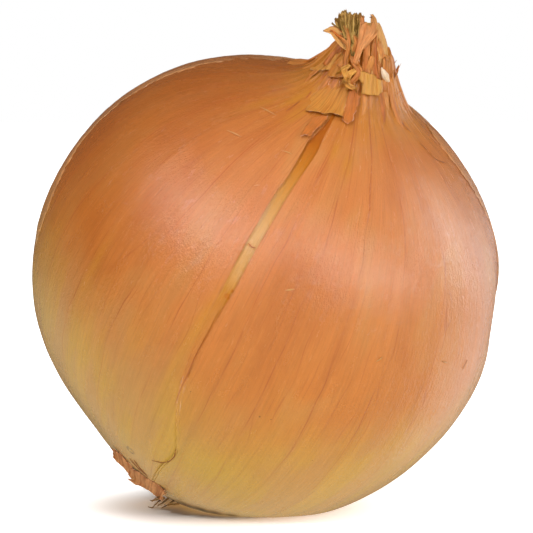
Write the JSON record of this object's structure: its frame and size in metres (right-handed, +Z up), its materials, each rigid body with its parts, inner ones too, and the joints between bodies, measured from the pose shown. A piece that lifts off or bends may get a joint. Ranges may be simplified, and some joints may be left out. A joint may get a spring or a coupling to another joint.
{
  "type": "yellow onion",
  "caption": "Whole yellow onion with dried neck, torn papery skin and dried roots, leaning on a small flat spot.",
  "frame": {"origin": "middle of the small flat spot that the onion rests on", "axes": "+Z up as the onion lies; its neck leans towards +X and towards -Y, which is the front"},
  "size_m": [0.0863, 0.0871, 0.0932],
  "materials": {
    "bulb_skin": "dry papery onion skin, satin, copper to straw with fine brown veins",
    "inner_leaf": "withered leaf, olive and straw, matt",
    "fan_leaf": "withered leaf, salmon pink, matt and fibrous",
    "outer_leaf": "withered outer skin, ochre, matt and fibrous",
    "ochre_flake": "loose skin, ochre gold, satin",
    "brown_flake": "loose skin, orange brown, satin",
    "pale_flake": "loose skin, pale ochre, satin",
    "dried_root": "dried roots, olive brown, matt",
    "base_flap": "torn skin, reddish brown, matt"
  },
  "bodies": {
    "root": {"bulb": "bulb_skin", "neck_leaf_bundle": "inner_leaf", "neck_fan_leaf": "fan_leaf", "neck_curled_leaf": "outer_leaf", "neck_collar": "outer_leaf", "neck_flake_ochre": "ochre_flake", "neck_flake_brown": "brown_flake", "neck_flake_pale": "pale_flake", "root_tuft": "dried_root", "base_skin_flap_1": "base_flap", "base_skin_flap_2": "base_flap", "base_skin_flap_3": "base_flap", "base_skin_flap_4": "base_flap", "base_skin_flap_5": "base_flap"}
  },
  "joints": []
}
